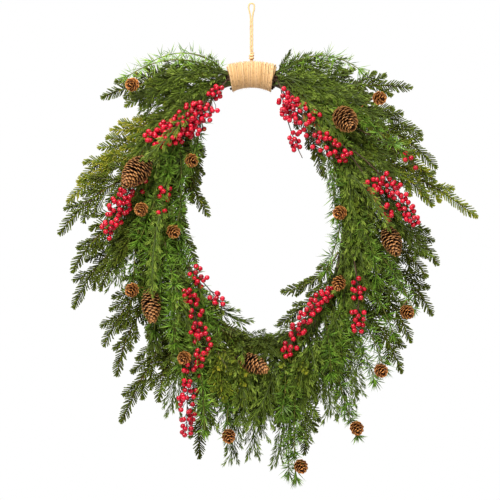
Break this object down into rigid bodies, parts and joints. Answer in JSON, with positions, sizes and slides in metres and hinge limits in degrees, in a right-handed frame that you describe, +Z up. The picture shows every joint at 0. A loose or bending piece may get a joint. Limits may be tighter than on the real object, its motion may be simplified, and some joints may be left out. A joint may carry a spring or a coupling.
{
  "type": "fresh evergreen wreath",
  "caption": "Oval wreath of fir, cedar and larch boughs with cones and red berry sprays on a ring of bent stems, hung from a jute loop.",
  "frame": {"origin": "inside of the hanging loop's eye, at its top, where a hook carries the wreath", "axes": "+Z up along the loop, the wreath's front faces -Y and its back +Y, +X to the viewer's right"},
  "size_m": [0.6577, 0.1043, 0.7298],
  "materials": {
    "stem": "dull bark",
    "jute": "matt twisted fibre",
    "twine": "matt twisted fibre",
    "large_cone": "dull woody scales",
    "small_cone": "satin woody scales",
    "berry": "glossy skin",
    "fir": "waxy needles",
    "cedar": "satin scale leaves",
    "larch": "soft needles"
  },
  "bodies": {
    "root": {"stem_ring": "stem", "jute_wrap": "jute", "hanging_loop": "twine", "loop_knot": "twine", "fir_01": "fir", "fir_02": "fir", "fir_03": "fir", "fir_04": "fir", "fir_05": "fir", "fir_06": "fir", "fir_07": "fir", "fir_08": "fir", "fir_09": "fir", "fir_10": "fir", "fir_11": "fir", "fir_12": "fir", "fir_13": "fir", "fir_14": "fir", "fir_15": "fir", "cedar_01": "cedar", "cedar_02": "cedar", "cedar_03": "cedar", "cedar_04": "cedar", "cedar_05": "cedar", "cedar_06": "cedar", "cedar_07": "cedar", "cedar_08": "cedar", "larch_01": "larch", "larch_02": "larch", "larch_03": "larch", "larch_04": "larch", "larch_05": "larch", "larch_06": "larch", "berries_01": "berry", "berries_02": "berry", "berries_03": "berry", "berries_04": "berry", "berries_05": "berry", "berries_06": "berry", "berries_07": "berry", "berries_08": "berry", "large_cone_01": "large_cone", "large_cone_02": "large_cone", "large_cone_03": "large_cone", "large_cone_04": "large_cone", "large_cone_05": "large_cone", "small_cone_01": "small_cone", "small_cone_02": "small_cone", "small_cone_03": "small_cone", "small_cone_04": "small_cone", "small_cone_05": "small_cone", "small_cone_06": "small_cone", "small_cone_07": "small_cone", "small_cone_08": "small_cone", "small_cone_09": "small_cone", "small_cone_10": "small_cone", "small_cone_11": "small_cone", "small_cone_12": "small_cone", "small_cone_13": "small_cone", "small_cone_14": "small_cone"}
  },
  "joints": []
}
